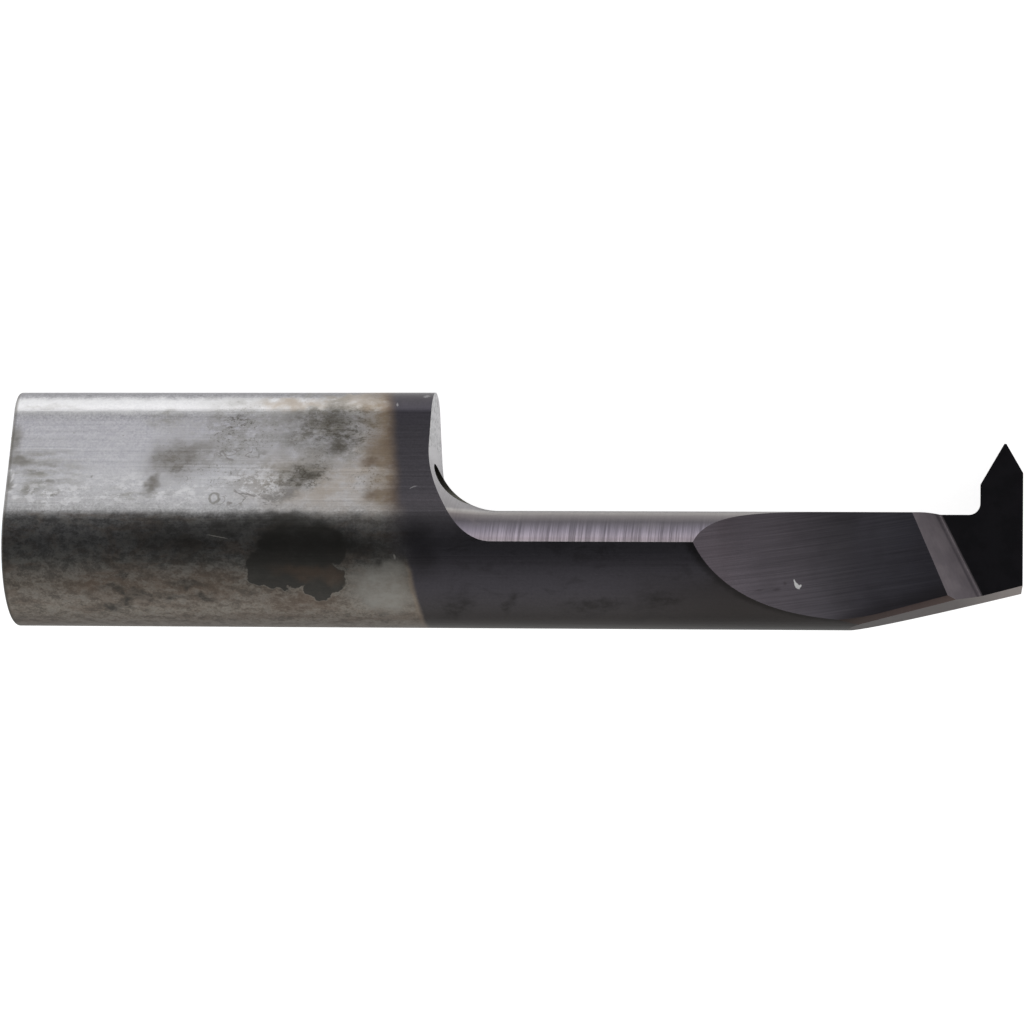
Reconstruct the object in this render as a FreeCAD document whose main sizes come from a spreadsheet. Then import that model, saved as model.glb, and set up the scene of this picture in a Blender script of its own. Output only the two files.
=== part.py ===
import FreeCAD, Part
import math
import os
import Sketcher

# A one-piece ground carbide boring-bar insert for cutting internal threads.
# Tool frame while it is drawn: X runs from the rear stop face to the cutting end, Y towards the
# tooth, Z out of the rake face. The tool's axis is the centre of the large round of its section.
# At the end the tool is laid on the lower flat of its wedge, as it comes to rest on a bench.

DRIVING_SIZES = [
    ("overall_length", 30.0, "rear stop face to cutting end"),
    ("shank_length", 12.6, "rear stop face to the notch"),
    ("body_radius", 2.4, "large round of the drop section"),
    ("wedge_radius", 1.05, "small round of the drop section"),
    ("wedge_offset", 3.55, "distance between the two round centres"),
    ("rear_edge_round", 0.1, "rounding of the rear edge"),
    ("neck_radius", 2.4, "radius of the cylindrically ground neck top"),
    ("neck_crest", 1.05, "neck top above the tool axis"),
    ("neck_offset", 0.44, "centre of the neck top towards the rake side"),
    ("notch_fillet", 2.0, "fillet from the neck up to the shank's face"),
    ("head_fillet", 0.33, "fillet from the neck up to the tooth"),
    ("head_width", 1.25, "tooth body along the tool"),
    ("tooth_height", 3.1, "tip above the tool axis"),
    ("tooth_angle", 60.0, "included angle of the thread profile"),
    ("tip_setback", 0.525, "tip behind the cutting end"),
    ("tip_flat", 0.06, "width of the flat on the tip"),
    ("side_relief", 3.0, "clearance behind the flanks and the end face"),
    ("tip_relief", 12.0, "clearance behind the tip"),
    ("rake_length", 1.9, "cutting end to the foot of the chip step, on the axis"),
    ("step_skew", 27.0, "lean of the chip step across the tool"),
    ("step_slope", 49.0, "slope of the chip step"),
    ("step_foot_radius", 0.12, "radius at the foot of the chip step"),
    ("floor_height", 0.82, "flute floor above the tool axis"),
    ("floor_run", 4.75, "cutting end to where the floor turns up, on the axis"),
    ("floor_skew", 21.5, "lean of the flute across the tool"),
    ("floor_tilt", 4.0, "fall of the flute floor towards the tooth side"),
    ("wheel_radius", 6.5, "run-out radius of the flute"),
    ("bevel_length", 5.09, "cutting end to where the back bevel starts"),
    ("bevel_angle", 14.7, "slope of the back bevel"),
    ("bevel_tilt", 3.0, "turn of the back bevel towards the rake side"),
    ("edge_bevel_offset", 0.8, "where the edge bevel meets the back bevel, from mid-plane"),
    ("edge_bevel_angle", 45.0, "slope of the edge bevel"),
    ("coolant_radius", 0.6, "coolant hole through the shank"),
    ("coolant_height", 1.82, "coolant hole above the tool axis"),
    ("coolant_offset", 0.73, "coolant hole towards the rake side"),
]


# A size is a number together with the sheet formula it comes from, so that a corner is written
# once and both the drawn geometry and its binding follow from it.
class Size:
    def __init__(self, value, text):
        self.value = float(value)
        self.text = text

    def __add__(self, other):
        other = as_size(other)
        return Size(self.value + other.value, f"({self.text} + {other.text})")

    def __sub__(self, other):
        other = as_size(other)
        return Size(self.value - other.value, f"({self.text} - {other.text})")

    def __mul__(self, other):
        other = as_size(other)
        return Size(self.value * other.value, f"({self.text} * {other.text})")

    def __truediv__(self, other):
        other = as_size(other)
        return Size(self.value / other.value, f"({self.text} / {other.text})")

    def __neg__(self):
        return Size(-self.value, f"(-1 * {self.text})")


def as_size(number):
    return number if isinstance(number, Size) else Size(number, repr(float(number)))


def sine(angle):
    return Size(math.sin(math.radians(angle.value)), f"sin({angle.text})")


def cosine(angle):
    return Size(math.cos(math.radians(angle.value)), f"cos({angle.text})")


def tangent(angle):
    return Size(math.tan(math.radians(angle.value)), f"tan({angle.text})")


def arc_sine(ratio):
    return Size(math.degrees(math.asin(ratio.value)), f"asin({ratio.text})")


def root(square):
    return Size(math.sqrt(square.value), f"sqrt({square.text})")


doc = FreeCAD.newDocument("ThreadingTool")
sheet = doc.addObject("Spreadsheet::Sheet", "Sizes")
for row, (alias, number, note) in enumerate(DRIVING_SIZES, start=1):
    sheet.set(f"A{row}", alias)
    sheet.set(f"B{row}", str(number))
    sheet.setAlias(f"B{row}", alias)
    sheet.set(f"C{row}", note)
doc.recompute()


def size(alias):
    return Size(getattr(sheet, alias), f"Sizes.{alias}")


overall = size("overall_length")
shank = size("shank_length")
body_radius = size("body_radius")
wedge_radius = size("wedge_radius")
wedge_offset = size("wedge_offset")
zero = as_size(0)

# A cut runs this far past the blank, and the section is never this deep on one side.
reach = overall / 2
section_depth = body_radius + wedge_radius

# The wedge's flats are tangent to both rounds.
flat_sine = (body_radius - wedge_radius) / wedge_offset
flat_cosine = root(as_size(1) - flat_sine * flat_sine)
flat_angle = arc_sine(flat_sine)

tool = doc.addObject("PartDesign::Body", "threading_tool")
tool.Label = "threading_tool"


def origin_plane(role):
    for feature in tool.Origin.OriginFeatures:
        if feature.Role == role:
            return feature
    raise RuntimeError(f"no origin plane {role}")


# A place is a base point and yaw, pitch and roll in degrees, all of them sizes.
def new_sketch(name, role, base=(zero, zero, zero), turn=(zero, zero, zero)):
    sketch = tool.newObject("Sketcher::SketchObject", name)
    sketch.AttachmentSupport = [(origin_plane(role), "")]
    sketch.MapMode = "FlatFace"
    base_text = "; ".join(part.text for part in base)
    turn_text = "; ".join(part.text for part in turn)
    sketch.setExpression("AttachmentOffset",
                         f"placement(vector({base_text}); rotation({turn_text}))")
    return sketch


def bind(sketch, constraint, amount):
    index = sketch.addConstraint(constraint)
    sketch.setExpression(f"Constraints[{index}]", amount.text)


def add_arc(sketch, start, end, centre, clockwise):
    first, last = (end, start) if clockwise else (start, end)
    angle = [math.atan2(point[1].value - centre[1].value, point[0].value - centre[0].value)
             for point in (first, last)]
    if angle[1] < angle[0]:
        angle[1] += 2 * math.pi
    radius = math.hypot(first[0].value - centre[0].value, first[1].value - centre[1].value)
    middle = FreeCAD.Vector(centre[0].value, centre[1].value, 0)
    circle = Part.Circle(middle, FreeCAD.Vector(0, 0, 1), radius)
    return sketch.addGeometry(Part.ArcOfCircle(circle, angle[0], angle[1]), False)


# Draws a closed outline. A corner is (x, y), or (x, y, centre, radius, clockwise) when an arc
# leads from it to the next corner.
def draw_outline(sketch, corners):
    sides = []
    for index, corner in enumerate(corners):
        start = corner[:2]
        end = corners[(index + 1) % len(corners)][:2]
        if len(corner) > 2:
            centre, radius, clockwise = corner[2:]
            side = add_arc(sketch, start, end, centre, clockwise)
            bind(sketch, Sketcher.Constraint("Radius", side, radius.value), radius)
            sides.append((side, 2, 1) if clockwise else (side, 1, 2))
        else:
            ends = [FreeCAD.Vector(point[0].value, point[1].value, 0) for point in (start, end)]
            sides.append((sketch.addGeometry(Part.LineSegment(*ends), False), 1, 2))
    for index, (side, first, last) in enumerate(sides):
        following, following_first, following_last = sides[(index + 1) % len(sides)]
        sketch.addConstraint(Sketcher.Constraint("Coincident", side, last, following,
                                                 following_first))
        across, up = corners[index][:2]
        bind(sketch, Sketcher.Constraint("DistanceX", -1, 1, side, first, across.value), across)
        bind(sketch, Sketcher.Constraint("DistanceY", -1, 1, side, first, up.value), up)


# Cuts a prism of the outline to both sides of its sketch.
def cut_through(name, sketch):
    doc.recompute()
    before = tool.Shape.Volume
    pocket = tool.newObject("PartDesign::Pocket", name)
    pocket.Profile = sketch
    pocket.Type = 0
    pocket.Midplane = True
    pocket.setExpression("Length", (reach * 2).text)
    doc.recompute()
    report_cut(name, before)
    return pocket


def report_cut(name, before):
    removed = before - tool.Shape.Volume
    print(f"{name}: {removed:.3f} mm3 removed")
    if not removed > 0:
        raise RuntimeError(f"{name} removed nothing")


# Blank: the drop section, two rounds joined by tangent flats, drawn across the tool
def make_blank():
    sketch = new_sketch("DropSection", "YZ_Plane")
    foot = (body_radius * flat_sine, body_radius * flat_cosine)
    head = (wedge_offset + wedge_radius * flat_sine, wedge_radius * flat_cosine)
    body_centre = (zero, zero)
    wedge_centre = (wedge_offset, zero)
    draw_outline(sketch, [
        (*foot, body_centre, body_radius, False),
        (foot[0], -foot[1]),
        (head[0], -head[1], wedge_centre, wedge_radius, False),
        head,
    ])
    pad = tool.newObject("PartDesign::Pad", "Blank")
    pad.Profile = sketch
    pad.setExpression("Length", overall.text)
    doc.recompute()


# Rear edge: the stop face's rim is rounded
def round_rear_edge():
    blank = tool.Tip
    rim = []
    for index, edge in enumerate(blank.Shape.Edges, start=1):
        if edge.BoundBox.XMax < sheet.rear_edge_round / 2:
            rim.append(f"Edge{index}")
    fillet = tool.newObject("PartDesign::Fillet", "RearEdge")
    fillet.Base = (blank, rim)
    fillet.setExpression("Radius", size("rear_edge_round").text)
    doc.recompute()


# Notch: a cylindrical grind about an axis below the tool's own, which leaves the neck's round
# top, the large fillet at the shank and the small one at the tooth
def grind_notch():
    radius = size("neck_radius")
    notch_fillet = size("notch_fillet")
    head_fillet = size("head_fillet")
    head_wall = overall - size("head_width")
    axis_height = size("neck_crest") - radius
    clear = radius + reach
    sketch = new_sketch("NotchProfile", "XY_Plane",
                        base=(zero, axis_height, size("neck_offset")))
    draw_outline(sketch, [
        (shank, radius + notch_fillet, (shank + notch_fillet, radius + notch_fillet),
         notch_fillet, False),
        (shank + notch_fillet, radius),
        (head_wall - head_fillet, radius, (head_wall - head_fillet, radius + head_fillet),
         head_fillet, False),
        (head_wall, radius + head_fillet),
        (head_wall, clear),
        (shank, clear),
    ])
    before = tool.Shape.Volume
    groove = tool.newObject("PartDesign::Groove", "Notch")
    groove.Profile = sketch
    groove.ReferenceAxis = (sketch, ["H_Axis"])
    groove.Angle = 360.0
    doc.recompute()
    report_cut("Notch", before)


# Flute: the grinding wheel comes down on its own radius, then runs level past the cutting end
def grind_flute():
    height = size("floor_height")
    wheel = size("wheel_radius")
    entry = section_depth
    start = root(wheel * wheel - (wheel + height - entry) * (wheel + height - entry))
    sketch = new_sketch("FluteProfile", "XY_Plane",
                        base=(overall - size("floor_run"), zero, zero),
                        turn=(size("floor_skew"), zero, as_size(90) - size("floor_tilt")))
    draw_outline(sketch, [
        (-start, entry, (zero, height + wheel), wheel, False),
        (zero, height),
        (reach, height),
        (reach, entry),
    ])
    cut_through("Flute", sketch)


# Rake: a polished face ahead of a sloping chip step with a small radius at its foot
def grind_rake():
    slope = size("step_slope")
    foot_radius = size("step_foot_radius")
    foot = foot_radius * tangent(slope / 2)
    top = section_depth
    sketch = new_sketch("RakeProfile", "XY_Plane",
                        base=(overall - size("rake_length"), zero, zero),
                        turn=(size("step_skew"), zero, as_size(90)))
    draw_outline(sketch, [
        (-(top / tangent(slope)), top),
        (-(foot * cosine(slope)), foot * sine(slope), (foot, foot_radius), foot_radius, False),
        (foot, zero),
        (reach, zero),
        (reach, top),
    ])
    cut_through("Rake", sketch)


# Back bevel: takes the underside of the head away so that it clears a small bore
def grind_back_bevel():
    slope = tangent(size("bevel_angle"))
    sketch = new_sketch("BackBevelProfile", "XY_Plane",
                        base=(overall - size("bevel_length"), -body_radius, zero),
                        turn=(zero, zero, -size("bevel_tilt")))
    draw_outline(sketch, [
        (-(reach / 2), -(reach / 2 * slope)),
        (-(reach / 2), -reach),
        (reach, -reach),
        (reach, reach * slope),
    ])
    cut_through("BackBevel", sketch)


# Edge bevel: breaks the edge between the flute floor and the back bevel along the head
def grind_edge_bevel():
    slope = tangent(size("bevel_angle"))
    offset = size("edge_bevel_offset")
    turn = size("edge_bevel_angle")
    lift = offset * tangent(size("bevel_tilt"))
    sketch = new_sketch("EdgeBevelProfile", "XY_Plane",
                        base=(overall - size("bevel_length"), lift - body_radius, offset),
                        turn=(zero, zero, -turn))
    steeper = slope * cosine(turn)
    draw_outline(sketch, [
        (-(reach / 2), -(reach / 2 * steeper)),
        (-(reach / 2), -reach),
        (reach, -reach),
        (reach, reach * steeper),
    ])
    cut_through("EdgeBevel", sketch)


# Corners of the space around the tooth at a depth below the rake face: the flanks and the end
# face draw in by the side relief, and the tip drops by the tip relief.
def tooth_surround(depth):
    half = size("tooth_angle") / 2
    tip_x = overall - size("tip_setback")
    apex = size("tooth_height") + size("tip_flat") / 2 / tangent(half)
    drawn_in = depth * tangent(size("side_relief"))
    low_apex = apex - drawn_in / sine(half)
    tip = size("tooth_height") - depth * tangent(size("tip_relief"))
    left = overall - size("head_width") + drawn_in
    end = overall - drawn_in
    base = size("neck_crest") + size("head_fillet")
    outside = overall + reach
    top = size("tooth_height") + reach
    behind = overall - size("head_width") - size("head_fillet")
    return [
        (left, base),
        (left, low_apex - (tip_x - left) / tangent(half)),
        (tip_x - (low_apex - tip) * tangent(half), tip),
        (tip_x + (low_apex - tip) * tangent(half), tip),
        (end, low_apex - (end - tip_x) / tangent(half)),
        (end, -reach),
        (outside, -reach),
        (outside, top),
        (behind, top),
        (behind, base),
    ]


# Tooth: a 60 degree thread profile with clearance behind each of its edges. The grind starts
# above the rake face by no more than the tip's flat, where the two flanks still stand apart.
def grind_tooth():
    above = -size("tip_flat")
    sketches = []
    for name, depth in (("ToothAbove", above), ("ToothBelow", section_depth)):
        sketch = new_sketch(name, "XY_Plane", base=(zero, zero, -depth))
        draw_outline(sketch, tooth_surround(depth))
        sketches.append(sketch)
    doc.recompute()
    before = tool.Shape.Volume
    loft = tool.newObject("PartDesign::SubtractiveLoft", "Tooth")
    loft.Profile = sketches[0]
    loft.Sections = [sketches[1]]
    loft.Ruled = True
    loft.Closed = False
    doc.recompute()
    report_cut("Tooth", before)


# Coolant: a hole along the shank that opens in the notch fillet and points at the rake face
def drill_coolant():
    sketch = new_sketch("CoolantCircle", "YZ_Plane")
    centre = (size("coolant_height"), size("coolant_offset"))
    radius = size("coolant_radius")
    middle = FreeCAD.Vector(centre[0].value, centre[1].value, 0)
    circle = sketch.addGeometry(
        Part.Circle(middle, FreeCAD.Vector(0, 0, 1), radius.value), False)
    bind(sketch, Sketcher.Constraint("Radius", circle, radius.value), radius)
    bind(sketch, Sketcher.Constraint("DistanceX", -1, 1, circle, 3, centre[0].value), centre[0])
    bind(sketch, Sketcher.Constraint("DistanceY", -1, 1, circle, 3, centre[1].value), centre[1])
    doc.recompute()
    before = tool.Shape.Volume
    hole = tool.newObject("PartDesign::Pocket", "CoolantHole")
    hole.Profile = sketch
    hole.Type = 0
    hole.Reversed = True
    hole.setExpression("Length", (shank + size("notch_fillet")).text)
    doc.recompute()
    report_cut("CoolantHole", before)


# Lays the tool on the lower flat of its wedge, with its outline centred on the origin
def lay_down():
    far_side = wedge_offset * flat_cosine + wedge_radius
    shift = ((-overall / 2), (body_radius - far_side) / 2, body_radius)
    base_text = "; ".join(part.text for part in shift)
    tool.setExpression("Placement", f"placement(vector({base_text}); "
                                    f"rotation(vector(1; 0; 0); {(-flat_angle).text}))")
    doc.recompute()


make_blank()
round_rear_edge()
grind_notch()
grind_flute()
grind_rake()
grind_back_bevel()
grind_edge_bevel()
grind_tooth()
drill_coolant()
lay_down()

for item in doc.Objects:
    if "Invalid" in item.State or "Error" in item.State:
        raise RuntimeError(f"{item.Name} failed: {item.State}")
if tool.Shape.isNull() or not tool.Shape.isValid():
    raise RuntimeError("threading_tool has no valid shape")
if len(tool.Shape.Solids) != 1:
    raise RuntimeError(f"threading_tool has {len(tool.Shape.Solids)} solids")

box = tool.Shape.BoundBox
print(f"volume {tool.Shape.Volume:.3f} mm3, faces {len(tool.Shape.Faces)}")
print(f"box {box.XMin:.3f} {box.YMin:.3f} {box.ZMin:.3f} to {box.XMax:.3f} {box.YMax:.3f} "
      f"{box.ZMax:.3f}")
centre = tool.Shape.Solids[0].CenterOfMass
print(f"centre of mass {centre.x:.3f} {centre.y:.3f} {centre.z:.3f}")

os.makedirs("parts", exist_ok=True)
tool.Shape.exportStep(f"parts/{tool.Label}.step")
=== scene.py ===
import math

import bmesh
import bpy
from mathutils import Matrix, Vector


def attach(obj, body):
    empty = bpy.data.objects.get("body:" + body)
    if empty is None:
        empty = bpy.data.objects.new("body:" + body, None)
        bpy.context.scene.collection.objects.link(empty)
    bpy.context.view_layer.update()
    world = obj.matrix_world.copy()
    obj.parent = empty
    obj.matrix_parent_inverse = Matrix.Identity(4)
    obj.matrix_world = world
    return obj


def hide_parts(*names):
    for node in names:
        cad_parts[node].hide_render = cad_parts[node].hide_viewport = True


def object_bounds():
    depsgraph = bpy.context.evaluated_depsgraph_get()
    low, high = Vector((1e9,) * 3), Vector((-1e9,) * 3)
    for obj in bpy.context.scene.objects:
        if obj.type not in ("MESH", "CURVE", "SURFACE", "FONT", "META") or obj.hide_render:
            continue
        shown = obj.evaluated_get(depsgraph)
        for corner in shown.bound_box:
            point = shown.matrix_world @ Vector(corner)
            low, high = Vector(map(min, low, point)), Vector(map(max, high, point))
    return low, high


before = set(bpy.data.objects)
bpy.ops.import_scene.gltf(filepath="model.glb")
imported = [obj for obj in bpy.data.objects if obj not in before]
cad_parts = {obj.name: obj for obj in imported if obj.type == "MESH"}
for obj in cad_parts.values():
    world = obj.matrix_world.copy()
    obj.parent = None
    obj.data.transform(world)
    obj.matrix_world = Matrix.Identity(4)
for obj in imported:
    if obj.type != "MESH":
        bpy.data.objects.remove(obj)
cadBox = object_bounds()
mm = 0.001
print("frame loaded")

# The tool's own frame is used for its shapes and materials, in millimetres.
# X runs from the rear stop to the cutting end, Y towards the tooth, Z out of the rake face.
blank = {
    "length": 30.0,
    "bodyRadius": 2.4,
    "wedgeRadius": 1.05,
    "wedgeOffset": 3.55,
    "rearRound": 0.1,
    "rearSteps": 6,
    "roundSteps": 150,
    "wedgeSteps": 90,
}

wedgeTilt = math.asin((blank["bodyRadius"] - blank["wedgeRadius"]) / blank["wedgeOffset"])
axisPlace = Vector((cadBox[0].x, cadBox[0].y + blank["bodyRadius"] * mm,
                    cadBox[0].z + blank["bodyRadius"] * mm))
toolToRow = (Matrix.Translation(axisPlace) @ Matrix.Rotation(-wedgeTilt, 4, "X")
             @ Matrix.Scale(mm, 4))


# Camera, as the photograph was taken: almost square on to the rake face, from 16 cm away
shot = {
    "turn": 7.35,  # cutting end nearer, degrees
    "tilt": 3.81,  # tooth further away
    "roll": 0.17,
    "distance": 158.57,  # millimetres
    "lens": 185.9,
    "sensor": 36.0,
    "aim": (-0.321, -0.572, 0.27),  # millimetres, in the row's frame
}


def makeCamera():
    data = bpy.data.cameras.new("photoCamera")
    data.lens = shot["lens"]
    data.sensor_width = shot["sensor"]
    data.clip_start = 0.01
    data.clip_end = 10.0
    camera = bpy.data.objects.new("photoCamera", data)
    turned = (Matrix.Rotation(math.radians(shot["tilt"]) - wedgeTilt, 4, "X")
              @ Matrix.Rotation(math.radians(shot["turn"]), 4, "Y")
              @ Matrix.Rotation(math.radians(shot["roll"]), 4, "Z"))
    place = Vector(shot["aim"]) * mm + turned.to_3x3() @ Vector((0, 0, shot["distance"] * mm))
    camera.matrix_world = Matrix.Translation(place) @ turned
    bpy.context.scene.collection.objects.link(camera)
    bpy.context.scene.camera = camera


makeCamera()
bpy.context.scene.view_settings.view_transform = "Standard"
print("camera placed")


spotDepth = 200  # millimetres


def grey(level):
    return (level, level, level, 1)


# Short words for building node trees
class NodeTree:
    def __init__(self, owner):
        owner.use_nodes = True
        self.owner = owner
        self.tree = owner.node_tree
        self.tree.nodes.clear()

    def add(self, kind, inputs=None, **settings):
        node = self.tree.nodes.new(kind)
        for name, setting in settings.items():
            setattr(node, name, setting)
        for name, given in (inputs or {}).items():
            if isinstance(given, bpy.types.NodeSocket):
                self.tree.links.new(given, node.inputs[name])
            else:
                node.inputs[name].default_value = given
        return node

    def compute(self, operation, first, second=0.0):
        return self.add("ShaderNodeMath", {0: first, 1: second}, operation=operation).outputs[0]

    def sum(self, first, second):
        return self.compute("ADD", first, second)

    def product(self, first, second):
        return self.compute("MULTIPLY", first, second)

    def largest(self, first, second):
        return self.compute("MAXIMUM", first, second)

    def least(self, first, second):
        return self.compute("MINIMUM", first, second)

    def difference(self, first, second):
        return self.compute("SUBTRACT", first, second)

    # From 0 to 1 between two values, softly, or from 1 to 0 where the first is the higher
    def step(self, value, start, end):
        low, high = sorted((start, end))
        return self.add("ShaderNodeMapRange", {0: value, 1: low, 2: high, 3: float(start > end),
                                               4: float(start < end)},
                        interpolation_type="SMOOTHSTEP").outputs[0]

    # A colour that changes with a factor, from stops of factor and colour
    def ramp(self, factor, stops):
        node = self.add("ShaderNodeValToRGB", {"Fac": factor})
        elements = node.color_ramp.elements
        for index, (at, colour) in enumerate(stops):
            element = elements[index] if index < 2 else elements.new(at)
            element.position = at
            element.color = (*colour, 1)
        return node.outputs[0]

    # The same along a value in its own unit
    def bands(self, value, stops):
        first, last = stops[0][0], stops[-1][0]
        along = self.add("ShaderNodeMapRange", {0: value, 1: first, 2: last}).outputs[0]
        return self.ramp(along, [((at - first) / (last - first), colour) for at, colour in stops])

    # The same place, pushed about by noise, so that what is drawn there gets ragged edges
    def ragged(self, place, scale, amount, detail=4.0):
        push = self.add("ShaderNodeTexNoise", {"Vector": place, "Scale": scale,
                                               "Detail": detail}).outputs["Color"]
        centred = self.add("ShaderNodeVectorMath", {0: push, 1: (0.5, 0.5, 0.5)},
                           operation="SUBTRACT").outputs[0]
        return self.add("ShaderNodeVectorMath", {0: centred, 1: (amount, amount, amount), 2: place},
                        operation="MULTIPLY_ADD").outputs[0]

    # A place seen from a frame of its own: its origin, turn and unit
    def mapped(self, place, origin=(0, 0, 0), turn=(0, 0, 0), unit=(1, 1, 1)):
        return self.add("ShaderNodeMapping", {"Vector": place, "Location": origin, "Rotation": turn,
                                              "Scale": unit}, vector_type="TEXTURE").outputs[0]

    # Distance to the nearest of some oval spots, 1 at their borders and 2 from twice their size on.
    # Each spot is X, Y, half length, half height and turn, and goes through the whole tool.
    def nearestSpot(self, place, spots):
        nearest = None
        for x, y, long, high, turn in spots:
            local = self.mapped(place, (x, y, 0), (0, 0, math.radians(turn)),
                                (2 * long, 2 * high, spotDepth))
            nearness = self.add("ShaderNodeTexGradient", {"Vector": local},
                                gradient_type="SPHERICAL").outputs["Fac"]
            nearest = nearness if nearest is None else self.largest(nearest, nearness)
        return self.spread(nearest, 2.0, 0.0)

    def spots(self, place, spots, soft):
        return self.step(self.nearestSpot(place, spots), 1 + soft, 1 - soft)

    def spread(self, value, low, high):
        return self.add("ShaderNodeMapRange", {0: value, 3: low, 4: high}).outputs[0]

    def mix(self, factor, first, second, blend="MIX"):
        return self.add("ShaderNodeMix", {0: factor, 6: first, 7: second}, data_type="RGBA",
                        blend_type=blend).outputs[2]

    # A number between two others, which may each be a socket
    def blend(self, factor, first, second):
        return self.add("ShaderNodeMix", {0: factor, 2: first, 3: second}).outputs[0]

    # A colour with a pattern's darkest and lightest grey laid over it
    def grained(self, colour, pattern, strength, darkest, lightest):
        tone = self.mix(pattern, grey(darkest), grey(lightest))
        return self.mix(strength, colour, tone, "OVERLAY")

    # A colour with a tone laid over it in one place
    def cover(self, colour, where, tone, strength):
        return self.mix(self.product(where, strength), colour, tone)

    def offMiddle(self, value, middle=0.5):
        return self.compute("ABSOLUTE", self.difference(value, middle))

    def noise(self, place, scale, detail=3.0, rough=0.5, bend=0.0):
        return self.add("ShaderNodeTexNoise", {"Vector": place, "Scale": scale, "Detail": detail,
                                               "Roughness": rough, "Distortion": bend}).outputs[0]

    # Features per millimetre along each axis, after a turn about Z in degrees
    def stretch(self, place, scale, turn=0.0):
        return self.mapped(place, turn=(0, 0, math.radians(turn)),
                           unit=tuple(1 / part for part in scale))

    # Ground lines: features per millimetre along each axis, detail, roughness and turn
    def lines(self, place, scale, detail, rough, turn=0.0):
        return self.noise(self.stretch(place, scale, turn), 1.0, detail, rough)

    # Place in the tool's own frame, in millimetres
    def toolPlace(self):
        coordinates = self.add("ShaderNodeTexCoord").outputs["Object"]
        return self.mapped(coordinates, axisPlace, (-wedgeTilt, 0, 0), (mm, mm, mm))

    def split(self, place):
        return self.add("ShaderNodeSeparateXYZ", {0: place}).outputs

    def surface(self, shader):
        output = self.add("ShaderNodeOutputMaterial")
        self.tree.links.new(shader, output.inputs["Surface"])
        return self.owner

    # Relief is a height and its depth in millimetres
    def metal(self, colour, roughness, height, depth, metallic=1.0):
        normal = self.add("ShaderNodeBump", {"Height": height, "Distance": depth * mm,
                                             "Strength": 1.0}).outputs[0]
        return self.surface(self.add("ShaderNodeBsdfPrincipled", {
            "Base Color": colour, "Roughness": roughness, "Metallic": metallic,
            "Normal": normal}).outputs[0])


def startMaterial(name):
    tree = NodeTree(bpy.data.materials.new(name))
    return tree, tree.toolPlace()


flute = {
    "floorHeight": 0.82,
    "floorRun": 4.75,
    "skew": 21.5,
    "tilt": 4.0,
    "wheelRadius": 6.5,
    "wheelSteps": 48,
    "reach": 15.0,
}

rake = {
    "length": 1.9,
    "skew": 27.0,
    "slope": 49.0,
    "footRadius": 0.12,
    "footSteps": 10,
    "reach": 15.0,
}

bevels = {
    "length": 5.09,
    "slope": 14.7,
    "tilt": 3.0,
    "edgeOffset": 0.8,
    "edgeTurn": 45.0,
}

nearSideFrom = (-0.1, 0.1)

# Colours across the tool: Y in millimetres, then the colour there, bare metal tone with painted light
# and shade
bareMetal = {
    "across": [
        (-2.4, (0.3, 0.255, 0.215)), (-1.95, (0.3, 0.266, 0.226)),
        (-1.62, (0.246, 0.218, 0.188)), (-1.28, (0.192, 0.164, 0.136)),
        (-0.93, (0.204, 0.184, 0.162)), (-0.6, (0.15, 0.146, 0.136)),
        (-0.15, (0.185, 0.186, 0.188)), (0.33, (0.222, 0.221, 0.226)),
        (0.63, (0.16, 0.159, 0.16)), (0.75, (0.26, 0.258, 0.262)),
        (0.85, (0.41, 0.406, 0.41)), (0.97, (0.575, 0.572, 0.58)),
        (1.2, (0.69, 0.685, 0.705)), (1.85, (0.75, 0.748, 0.778)),
        (2.5, (0.71, 0.706, 0.745)), (3.6, (0.655, 0.648, 0.692)),
        (3.81, (0.545, 0.54, 0.57)), (3.89, (0.64, 0.636, 0.655)),
        # painted highlight: the light band along the top round
        (3.97, (0.8, 0.795, 0.81)), (4.28, (0.85, 0.848, 0.862)),
        (4.36, (0.68, 0.675, 0.69)), (4.42, (0.46, 0.455, 0.475)),
        (4.5, (0.33, 0.326, 0.35)), (4.58, (0.33, 0.328, 0.34)),
    ],
    "lines": ((0.15, 9.0, 9.0), 4.0, 0.6),
    "lineGrain": (0.18, 0.3, 0.7),  # strength, darkest and lightest
    # pattern, where it fades in, then the same
    "grains": [("dust", (0.25, 0.75), (0.62, 0.25, 0.75)), ("grain", (0.3, 0.7), (0.22, 0.28, 0.72))],
    # clouds below the flat: pattern, where it fades in, tone and strength
    "clouds": [("grain", (0.54, 0.4), "pale", 0.3), ("drift", (0.46, 0.62), "brown", 0.45),
               ("grain", (0.46, 0.62), "oil", 0.5)],
    "lineDepth": 0.004,
    "roughness": 0.36,
}

stainTones = {
    "white": (0.96, 0.955, 0.975, 1),
    "bright": (0.62, 0.6, 0.56, 1),
    "pale": (0.39, 0.38, 0.35, 1),
    "warm": (0.52, 0.455, 0.39, 1),
    "olive": (0.455, 0.445, 0.415, 1),
    "ash": (0.355, 0.338, 0.332, 1),
    "grey": (0.265, 0.25, 0.22, 1),
    "soot": (0.112, 0.103, 0.086, 1),
    "brown": (0.175, 0.13, 0.1, 1),
    "oil": (0.07, 0.068, 0.063, 1),
    "oilBrown": (0.112, 0.086, 0.069, 1),
}

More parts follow.
